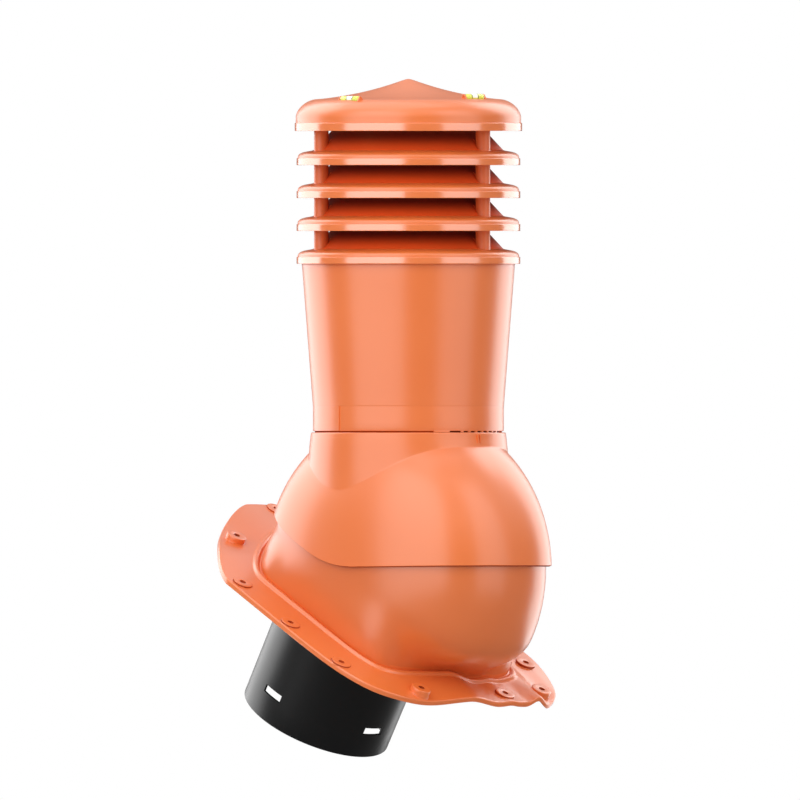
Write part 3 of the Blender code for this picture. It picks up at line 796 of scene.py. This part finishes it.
def within_dome(x, y, z):
    """True for faces inside the dome by 0.35 mm in front and 0.05 mm where the edge rises."""
    way = np.stack([x, y, z], axis=-1) / MM - PIVOT / MM
    reach = np.linalg.norm(way, axis=-1)
    limit = 0.35 - 0.3 * smooth_step(-45.0, -15.0, way[:, 1])
    return reach < barrel_reach(way / reach[:, None], 0.0) - limit


print("the hood's grid is", hood_grid().shape)

# %% Hood
collar_marks = [sector(94.0, 96.6, 160.3, 168.2, start, start + 0.9) for start in (44.2, 46.2)]
hood = new_piece("tilting_hood", [shell(hood_grid()), *collar_marks], crease=40.0)
settle(hood, satin_orange, "head", "terracotta_plastic", "hood")
# The inside of the hood and its lower edge are a dark orange, painted shade
second_finish_or_painted_light(hood, recess_painted_shade_orange, within_dome)

# %% [markdown]
# Base moulding
#
# The flange copies the waves of the tiles, and the hump stands on it inside a raised bead. The
# waves could be sculpted, but a formula keeps them smooth. In the roof's own coordinates the
# flange is a height above (u, v), its outline and the hump's foot are superellipses with a power
# of their own at each corner, and the hump is the same dome as the hood, 5.2 mm smaller. Rows run
# from the hump's rim down to the foot, over the bead, out over the flange, round its rim and back
# underneath.

# %% Flange surface and outlines
HUMP_INSET = 5.2
HUMP_RIM_R = 84.0
UNDERCUT = math.radians(32.0)
WIDEST_FLARE = math.radians(30.0)
CENTRE_V = -47.0
BASE_COLUMNS = 440
BASE_WALL = 2.8
RIM_ROUND = 1.7
BEAD_INSIDE, BEAD_OUTSIDE = -6.0, 4.6
DUCT_HOLE_R = 76.3


def flange_height(u, v):
    """Height of the flange's top in mm: valley, crest and edges, all from steps and bumps."""
    valley = -9.0 * smooth_step(-8.0, 36.0, u) + 3.5 * smooth_step(108.0, 134.0, u)
    front = smooth_step(140.0, 181.0, v)
    crest = 4.0 * bump(u, 96.0, 20.0) * (1.0 - front) + 10.0 * bump(u, 88.0, 9.5) * front
    crest = crest + 1.4 * bump(u, 52.0, 8.0)
    height = (valley + crest) * smooth_step(-140.0, 20.0, v) - 1.6 * smooth_step(-100.0, -146.0, u)
    lip = -1.2 - 5.3 * bump(u, -60.0, 42.0) + 2.2 * smooth_step(-10.0, 30.0, u)
    height += (lip - 4.4 * bump(u, 88.0, 12.0)) * front
    height += -5.5 * smooth_step(95.0, 112.0, u) * smooth_step(100.0, 181.0, v)
    back = 2.5 * smooth_step(-50.0, 5.0, u) - 4.5 * bump(u, -68.0, 34.0)
    height += back * smooth_step(-90.0, -135.0, v)
    return 7.0 + height


def outline_radius(angle, half_width, front, back, powers):
    """Distance to |u/a|^p + |v/b|^p = 1, with b for front or back and a p for each corner."""
    across, along = np.cos(angle), np.sin(angle)
    reach = np.where(along >= 0.0, front, back)
    front_power = np.where(across < 0.0, powers[0], powers[1])
    back_power = np.where(across < 0.0, powers[2], powers[3])
    power = np.where(along >= 0.0, front_power, back_power)
    return (np.abs(across / half_width) ** power + np.abs(along / reach) ** power) ** (-1.0 / power)


def column_angles():
    """Angles round the base, closer together along the front: equal steps of the summed density."""
    angle = np.linspace(-math.pi, math.pi, 4001)
    density = 1.0 + 1.2 * np.exp(-((angle - math.pi / 2) / math.radians(40.0)) ** 2)
    total = np.concatenate([[0.0], np.cumsum((density[1:] + density[:-1]) / 2)])
    return np.interp((np.arange(BASE_COLUMNS) + 0.5) / BASE_COLUMNS * total[-1], total, angle)


base_angle = column_angles()


def foot_outline():
    """The foot's superellipse, averaged over 12 degrees near its sides, where its halves meet."""
    shape = (102.0, 187.0, 87.0, (8.0, 11.0, 1.3, 1.3))
    steps = np.radians(np.linspace(-12.0, 12.0, 25))
    weights = bump(steps, 0.0, math.radians(6.0))
    rounded = sum(w * outline_radius(base_angle + d, *shape) for w, d in zip(weights, steps))
    rounded = rounded / weights.sum()
    from_side = np.degrees(np.abs(np.arcsin(np.sin(base_angle))))
    share = 1.0 - smooth_step(16.0, 34.0, from_side)
    return rounded * share + outline_radius(base_angle, *shape) * (1.0 - share)


foot_r = foot_outline()
edge_r = outline_radius(base_angle, 145.0, 228.0, 140.0, (5.8, 6.6, 1.29, 2.3))
edge_r += 5.0 * bump(np.degrees(base_angle), 45.0, 9.0)
print("the flange is", (edge_r - foot_r).min().round(1), "mm wide at its narrowest")


# %% Base rows
def flange_row(radius, lift):
    """A row of points on the flange at a distance from its centre, lifted off its surface."""
    u, v = radius * np.cos(base_angle), CENTRE_V + radius * np.sin(base_angle)
    return roof_to_world(u, v, flange_height(u, v) + lift)


def level_row(radius, height):
    """A row of points at one height above the roof."""
    u, v = radius * np.cos(base_angle), CENTRE_V + radius * np.sin(base_angle)
    return roof_to_world(u, v, height)


def bead_lift(s):
    """Height of the bead at s mm outside the foot: a flat-topped bell that rises to the hump."""
    return 3.0 * np.exp(-(np.abs(s + 0.6) / 3.1) ** 3.2) + 1.0 * smooth_step(-3.4, -6.0, s)


def hump_rows(fractions, lift):
    """Rows from the hump's rim to its foot, in mm, with the dome stretched to meet the foot."""
    pivot = PIVOT / MM
    foot = flange_row(foot_r + BEAD_INSIDE, 1.0) - pivot
    around = np.arctan2(foot[:, 0], -foot[:, 1])
    rim_x, rim_y = HUMP_RIM_R * np.sin(around), -HUMP_RIM_R * np.cos(around)
    rim = np.stack([rim_x, rim_y, barrel_height(rim_x, rim_y, HUMP_INSET)], axis=-1)
    stretch = np.linalg.norm(foot, axis=-1) / barrel_reach(unit(foot), HUMP_INSET) - 1.0
    # The foot flares only below the hood's edge. Where it lies inside the dome it draws in,
    # over the angle UNDERCUT
    free_turn = np.arccos((unit(edge_way(HUMP_INSET, around)) * unit(foot)).sum(axis=-1))
    flare = np.clip(free_turn - math.radians(5.0), math.radians(6.0), WIDEST_FLARE)
    bend = UNDERCUT + (flare - UNDERCUT) * smooth_step(-0.06, 0.06, stretch)
    rows = []
    for fraction in fractions:
        way = between(rim, foot, fraction)
        near = np.arccos(np.clip((way * unit(foot)).sum(axis=-1), -1.0, 1.0))
        weight = smooth_step(bend, 0.0, near)
        distance = barrel_reach(way, HUMP_INSET) * (1.0 + stretch * weight) + lift
        rows.append(pivot + way * distance[:, None])
    return rows


def base_grid():
    """All rows of the base moulding in metres, as one closed ring of rows."""
    duct_turn = np.arctan2(CENTRE_V + foot_r * np.sin(base_angle), foot_r * np.cos(base_angle))
    hole = [roof_to_world(DUCT_HOLE_R * np.cos(duct_turn), DUCT_HOLE_R * np.sin(duct_turn), h)
            for h in (0.0, 3.0)]
    margin = edge_r - foot_r
    rows = hump_rows(np.concatenate([np.linspace(0.0, 0.9, 44), np.linspace(0.92, 0.99, 8)]), 0.0)
    across_bead = np.linspace(BEAD_INSIDE, BEAD_OUTSIDE, 22)
    rows += [flange_row(foot_r + s, bead_lift(s)) for s in across_bead]
    rows += [flange_row(foot_r + BEAD_OUTSIDE + (margin - BEAD_OUTSIDE - 2.0) * t, 0.0)
             for t in np.linspace(0.04, 1.0, 24)]
    for turn in np.radians(np.linspace(10.0, 90.0, 7)):
        rows.append(flange_row(edge_r - RIM_ROUND + RIM_ROUND * math.sin(turn),
                               -RIM_ROUND + RIM_ROUND * math.cos(turn)))
    skirt = ((0.0, -2.6), (0.0, -3.8), (0.0, -4.8), (0.4, -5.2), (2.6, -5.2), (3.0, -4.8),
             (3.0, -BASE_WALL))
    rows += [flange_row(edge_r - inward, lift) for inward, lift in skirt]
    rows += [flange_row(foot_r + margin * t, -BASE_WALL) for t in (0.85, 0.68, 0.5, 0.36, 0.18)]
    rows += [flange_row(foot_r - 2.0, -BASE_WALL), level_row(foot_r - 12.0, 0.0), *hole,
             level_row(foot_r - 13.0, 3.0)]
    rows += hump_rows((0.93, 0.86, 0.78, 0.64, 0.5, 0.35, 0.2, 0.1, 0.0), -BASE_WALL)
    return np.array(rows) * MM


print("the base's grid is", base_grid().shape)

# %% [markdown]
# Screw seats
#
# Twelve round seats carry the roofing screws: tall ones in the troughs of the tiles and low ones
# on the level parts. Cylinders joined by a Boolean would leave ragged feet on the waves. So each
# is a lathe shape whose rows mix the height of its flat top with that of the flange.

# %% Seat shapes
TALL, LOW = 6.5, 1.6
SEAT_R = 9.8
HOLE_R = 3.05
FILLET = 0.3
SEATS = [
    (-66, -126, TALL), (-67, 168, TALL), (108, 160, TALL), (-132, -39, LOW), (-134, 39, LOW),
    (-131, 116, LOW), (53, 166, LOW), (130, 109, LOW), (30, -175, LOW), (132, -39, LOW),
    (134, 38, LOW), (80, -126, TALL),
]


def seat(u0, v0, lift):
    """Rows of (radius, weight of the flat top, lift): hole, flat top, wall and fillet."""
    depth = min(lift - 0.15, 4.0)
    rows = [
        (2.6, 1.0, -depth), (2.9, 1.0, -depth + 0.3), (HOLE_R, 1.0, -0.5),
        (HOLE_R + 0.1, 1.0, -0.12), (HOLE_R + 0.4, 1.0, 0.0), (SEAT_R - 1.0, 1.0, 0.0),
        (SEAT_R - 0.45, 1.0, -0.08), (SEAT_R - 0.1, 1.0, -0.4), (SEAT_R, 0.97, -0.4),
        (SEAT_R + 0.05, 0.5, 0.0), (SEAT_R + 0.1, 0.0, FILLET),
        (SEAT_R + 0.2, 0.0, FILLET * 0.35), (SEAT_R + 0.5, 0.0, -0.04),
        (SEAT_R + 0.2, 0.0, -1.6)]
    radius, flat, offset = np.array(rows).T[:, :, None]
    turn = np.linspace(0.0, 2 * math.pi, 56, endpoint=False)
    u, v = u0 + radius * np.cos(turn), v0 + radius * np.sin(turn)
    top = flange_height(np.float64(u0), np.float64(v0)) + lift
    height = flat * top + (1.0 - flat) * flange_height(u, v) + offset
    hole_floor = roof_to_world(u0, v0, top - depth) * MM
    underneath = roof_to_world(u0, v0, top - lift - 1.6) * MM
    return shell(roof_to_world(u, v, height) * MM, hole_floor, underneath)


def near_seats(x, y, z):
    """For each seat: distance from its axis in mm, height below its top in mm and its lift."""
    u, v, h = world_to_roof(x, y, z)
    for u0, v0, lift in SEATS:
        top = flange_height(np.float64(u0), np.float64(v0)) + lift
        yield np.hypot(u - u0, v - v0), top - h, lift


def in_shade(x, y, z):
    """True for faces within a screw hole and on the short upright wall of a low seat."""
    chosen = np.zeros(len(x), bool)
    for away, below, lift in near_seats(x, y, z):
        chosen |= (away < HOLE_R + 0.05) & (below > 0.3) & (below < lift)
        if lift == LOW:
            chosen |= (away > SEAT_R - 0.1) & (away < SEAT_R + 0.15) & (below > 0.0) & (below < 6.0)
    return chosen


def on_the_hump(x, y, z):
    """True for faces higher above the flange than the bead, and away from every seat."""
    u, v, h = world_to_roof(x, y, z)
    chosen = h - flange_height(u, v) > 4.2
    for away, below, _ in near_seats(x, y, z):
        chosen &= (away > SEAT_R + 2.0) | (below < -1.0)
    return chosen


print(len(SEATS), "seats, of which", sum(lift == TALL for _, _, lift in SEATS), "tall")

# %% Base moulding
seats = [seat(*place) for place in SEATS]
base = new_piece("flange_and_hump", [shell(base_grid()), *seats], crease=40.0)
settle(base, satin_orange, "base", "terracotta_plastic", "roof_base")
# The hump is a slightly darker orange than the flange of the same moulding: painted shade
second_finish_or_painted_light(base, hump_painted_shade_orange, on_the_hump)
# The screw holes and the walls of the low seats are a dark orange, painted shade
second_finish_or_painted_light(base, recess_painted_shade_orange, in_shade)

# %% [markdown]
# Duct spigot
#
# A plain pipe, slightly tapered, square to the roof. It hangs by a shoulder on the base's web.
# Four slots near its end probably take a strap. Their outlines could be worked into the pipe's
# grid, but a Boolean cuts them exactly and leaves the rest alone.

# %% Duct spigot
DUCT_END = -124.0
SLOT_H = -95.3
SLOT_LENGTH, SLOT_WIDTH = 24.0, 7.4


def slot_block(turn):
    """A box as long and as wide as a slot, placed through the pipe's wall at an angle."""
    half_l, half_w = SLOT_LENGTH / 2, SLOT_WIDTH / 2
    corners = np.array([(-half_l, -half_w), (half_l, -half_w), (half_l, half_w), (-half_l, half_w)])
    rows = []
    for radius in (68.0, 80.0):
        u = radius * math.cos(turn) - corners[:, 0] * math.sin(turn)
        v = radius * math.sin(turn) + corners[:, 0] * math.cos(turn)
        rows.append(roof_to_world(u, v, SLOT_H + corners[:, 1]))
    return ended(np.array(rows) * MM)


duct_outline = np.concatenate([
    [(75.6, 30.0), (75.6, 6.3), (84.0, 6.3), (84.0, 3.3), (75.6, 3.3)],
    run((75.6, 3.3), (74.3, DUCT_END + 0.7), 5),
    arc((73.6, DUCT_END + 0.7), (0.7, 0.7), 0, -90, 5),
    arc((72.4, DUCT_END + 0.6), (0.6, 0.6), -90, -180, 4),
    [(73.1, 30.0)]])
duct_turn = np.linspace(0.0, 2 * math.pi, SEGMENTS, endpoint=False)
duct_radius, duct_height = duct_outline.T[:, :, None]
duct_u, duct_v = duct_radius * np.cos(duct_turn), duct_radius * np.sin(duct_turn)
duct_grid = roof_to_world(duct_u, duct_v, duct_height)
duct = new_piece("duct_pipe", [shell(duct_grid * MM)])
cut(duct, make_mesh("slots", [slot_block(k * math.pi / 2) for k in range(4)]))
duct.data.set_sharp_from_angle(angle=math.radians(35.0))
settle(duct, satin_black, "base", "black_plastic", "duct_spigot")

# %% [markdown]
# Spirit levels
#
# Each level is a clear acrylic vial with rounded ends, filled with yellow-green fluid around one
# air bubble, and marked with two dark rings. A fluid with its own refraction would be slow and
# dark at this size. So it is a bright dye with a painted glow: the real dye is fluorescent and
# looks bright, and here a fixed glow stands for that. The bubble's white glow is a painted
# highlight, and the vial's plastic scatters a little white, a painted sheen.

# %% Level materials
clear_acrylic_painted_sheen = bpy.data.materials.new("clear_acrylic_painted_sheen")
clear_acrylic_painted_sheen.use_nodes = True
acrylic = clear_acrylic_painted_sheen.node_tree.nodes["Principled BSDF"]
acrylic.inputs["Base Color"].default_value = (1.0, 1.0, 1.0, 1.0)
acrylic.inputs["Roughness"].default_value = 0.03
acrylic.inputs["IOR"].default_value = 1.4
# Only 85 % of the light passes through; the rest scatters white, a painted sheen on the clear vial
acrylic.inputs["Transmission Weight"].default_value = 0.85


def tint_with_painted_glow(name, colour, glow):
    """A fluid, bubble or mark: a colour that varies a little along the vial, with a painted glow.
    """
    material = bpy.data.materials.new(name)
    material.use_nodes = True
    tree = material.node_tree
    shader = tree.nodes["Principled BSDF"]
    deep = tuple(0.85 * level for level in linear(colour)[:3]) + (1.0,)
    tint = blend(tree, noise(tree, 8.0), linear(colour), deep)
    tree.links.new(tint, shader.inputs["Base Color"])
    tree.links.new(tint, shader.inputs["Emission Color"])
    shader.inputs["Emission Strength"].default_value = glow
    shader.inputs["Roughness"].default_value = 0.15
    return material


# The fluid's glow is painted light, standing for the brightness of the real fluorescent dye
fluid_green_painted_glow = tint_with_painted_glow("fluorescent_level_fluid_painted_glow", "#E2EC3C", 0.45)
# The bubble glows white, a painted highlight
bubble_white_painted_glow = tint_with_painted_glow("air_bubble_painted_highlight", "#F7F7F2", 0.6)
ring_dark = tint_with_painted_glow("printed_ring", "#4A5A1E", 0.0)
print("the fluid is", [round(level, 2) for level in linear("#E2EC3C")[:3]], "in linear light")

# %% Levels
VIAL_R, FLUID_R, BUBBLE_R = 2.8, 2.1, 2.2
BUBBLE_HALF = 3.55
RING_PLACES = (-4.0, 4.0)
VIAL_RISE = np.array([0.0, 0.0, 0.3 * MM])


def along_axis(outline, centre, axis, segments=40):
    """Carry an outline of (distance along, radius) in mm round a level's own axis."""
    turn = np.linspace(0.0, 2 * math.pi, segments, endpoint=False)
    along = outline[:, :1] * MM + 0.0 * turn
    a, b = outline[:, 1:] * MM * np.cos(turn), outline[:, 1:] * MM * np.sin(turn)
    return ended(np.stack([along, a, b] if axis == 0 else [a, along, b], axis=-1) + centre)


def capsule(half_length, radius, end):
    """Outline of a rod whose ends are quarter ellipses."""
    left = arc((-half_length + end, 0.0), (end, radius), 178, 90, 7)
    right = arc((half_length - end, 0.0), (end, radius), 90, 2, 7)
    return np.concatenate([left, right])


def ring_band(place):
    """Outline of a dark ring, 0.8 mm wide, that stands 0.2 mm off the fluid."""
    start, end = place - 0.4, place + 0.4
    return np.array([(start, 2.0), (start, 2.3), (end, 2.3), (end, 2.0)])


for side, (centre, axis, length) in LEVEL_SEATS.items():
    half, above = length / MM / 2, centre + VIAL_RISE
    parts = {
        "vial": (clear_acrylic_painted_sheen, [along_axis(capsule(half, VIAL_R, 0.8), above, axis)]),
        "fluid": (fluid_green_painted_glow, [along_axis(capsule(half - 0.5, FLUID_R, 0.6), centre, axis)]),
        "bubble": (bubble_white_painted_glow, [along_axis(capsule(BUBBLE_HALF, BUBBLE_R, 0.5), above, axis)]),
        "marks": (ring_dark, [along_axis(ring_band(place), centre, axis) for place in RING_PLACES])}
    for part, (material, shells) in parts.items():
        piece = new_piece(f"{part}_{side}", shells)
        stands_for = [f"spirit_level_{side}"] if part == "vial" else []
        settle(piece, material, "head", "level_fluid", *stands_for)

# %% [markdown]
# Camera
#
# In the photo all verticals are upright and all rings edge-on, so it was taken level from far
# away. A long lens would do, but a parallel view says it in one setting. Its frame is 776 mm
# wide. The plain sRGB curve keeps the white ground white and the orange as vivid as its hex
# colour.

# %% Camera
VIEW = Vector((math.sqrt(0.5), math.sqrt(0.5), 0.0))
RIGHT = Vector((math.sqrt(0.5), -math.sqrt(0.5), 0.0))
AIM = Vector((0.0266, -0.0266, 0.2021))
scene = bpy.context.scene
camera_data = bpy.data.cameras.new("camera")
camera_data.type = "ORTHO"
camera_data.ortho_scale = 0.776
camera = bpy.data.objects.new("camera", camera_data)
scene.collection.objects.link(camera)
camera.location = AIM - VIEW * 3.0
camera.rotation_euler = VIEW.to_track_quat("-Z", "Y").to_euler()
scene.camera = camera
scene.view_settings.view_transform = "Standard"
print("the camera stands at", tuple(round(x, 2) for x in camera.location))

# %% [markdown]
# Lights
#
# A moulded surface is shown by what it mirrors. Two tall soft boxes stand left and right in front
# of the object with a dark gap between them, and two behind it light both outlines. A lit
# backdrop could do that too, but boxes that are only mirrored leave the soft light alone. The
# others fill in.


# %% Soft boxes
LIGHT_DISTANCE = 2.4
TOP_SIZE = 2.6


def area_light(name, radiance, width, height, place, toward=None):
    """An area light of power radiance times pi times area. Without a direction it faces down."""
    data = bpy.data.lights.new(name, "AREA")
    data.shape = "RECTANGLE"
    data.size, data.size_y = width, height
    data.energy = radiance * math.pi * data.size * data.size_y
    light = bpy.data.objects.new(name, data)
    scene.collection.objects.link(light)
    light.location = place
    if toward is not None:
        light.rotation_euler = (-toward).to_track_quat("-Z", "Y").to_euler()
    light.visible_camera = False
    print(name, "stands at", tuple(round(x, 2) for x in light.location))
    return light


def soft_box(name, left, right, low, high, radiance, mirrored=True, diffuse=True):
    """An upright light between two bearings (positive to the right) and two heights in metres.
    It may be seen in reflections, light the plastic, or both."""
    middle, half = math.radians((left + right) / 2), math.radians((right - left) / 2)
    toward = -VIEW * math.cos(middle) + RIGHT * math.sin(middle)
    place = Vector((AIM.x, AIM.y, (low + high) / 2)) + toward * LIGHT_DISTANCE
    width = 2 * LIGHT_DISTANCE * math.tan(half)
    light = area_light(name, radiance, width, high - low, place, toward)
    light.visible_glossy, light.visible_diffuse = mirrored, diffuse


soft_box("left_box", -66.0, -4.0, -0.5, 3.8, 1.55)
soft_box("left_fill", -66.0, -4.0, 0.8, 3.8, 0.2, mirrored=False)
soft_box("right_box", 34.0, 76.0, -0.6, 3.8, 1.1)
soft_box("back_left_box", -157.0, -102.0, -0.9, 3.5, 2.75, diffuse=False)
soft_box("back_right_box", 114.0, 157.0, -0.9, 3.5, 2.8, diffuse=False)
soft_box("front_high_box", -60.0, 60.0, 3.6, 5.4, 0.4)
area_light("top_box", 1.1, TOP_SIZE, TOP_SIZE, (-0.2, 0.5, 3.2))

# %% [markdown]
# World and floor
#
# The photo's ground is pure white and not mirrored. A studio image could light the plastic, but
# two ramps from dark below to light above are enough: one for soft light, one for reflections.
# The floor is a sheet of pale plastic that sends soft light up and takes a shadow in views from
# above.

# %% World and floor
world = bpy.data.worlds.new("studio")
scene.world = world
world.use_nodes = True
world.node_tree.nodes.clear()
sky = world.node_tree
direction = add_node(sky, "ShaderNodeTexCoord")
height = add_node(sky, "ShaderNodeSeparateXYZ", Vector=direction.outputs["Generated"]).outputs["Z"]
soft = ramp(sky, height, -0.3, 0.7, 0.1, 0.5)
mirrored = ramp(sky, height, 0.2, 0.6, 0.15, 0.85)
path = add_node(sky, "ShaderNodeLightPath")
unseen = add_node(sky, "ShaderNodeMix", {"data_type": "FLOAT"}, i0=path.outputs["Is Glossy Ray"],
                  i2=soft, i3=mirrored)
seen = add_node(sky, "ShaderNodeMix", {"data_type": "FLOAT"}, i0=path.outputs["Is Camera Ray"],
                i2=unseen.outputs[0], i3=1.0)
light = add_node(sky, "ShaderNodeBackground", Color=(1.0, 1.0, 1.0, 1.0), Strength=seen.outputs[0])
add_node(sky, "ShaderNodeOutputWorld", Surface=light.outputs["Background"])

FLOOR_HALF = 1.8
floor_z = cad_low[2] - 1.0 * MM
floor_grid = np.array([(-1, -1), (1, -1), (1, 1), (-1, 1)]) * FLOOR_HALF
floor_grid = np.column_stack([floor_grid, np.full(4, floor_z)])
floor_mesh = bpy.data.meshes.new("floor")
floor_mesh.from_pydata(floor_grid.tolist(), [], [(0, 1, 2, 3)])
floor = bpy.data.objects.new("floor", floor_mesh)
scene.collection.objects.link(floor)
pale = moulded_plastic("pale_studio_floor", "#D9D8D6", "#D5D4D2", 0.6, 1.45, 4.0, 0.01, 400.0)
floor_mesh.materials.append(pale)
floor.visible_glossy = False
floor.visible_shadow = False
floor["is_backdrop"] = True
print("the floor lies", round((cad_low[2] - floor_z) / MM, 1), "mm below the spigot")

# %% [markdown]
# Sizes
#
# The dressed part has to keep the size of the plain solids, because whatever it is mounted on or
# meets uses them. So both boxes are worked out and printed.

# %% Sizes
low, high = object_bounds()
boxes = {"cad": [list(cad_low), list(cad_high)], "visual": [list(low), list(high)]}
print("cad box", [[round(x * 1000, 1) for x in end] for end in boxes["cad"]])
print("visual box", [[round(x * 1000, 1) for x in end] for end in boxes["visual"]])
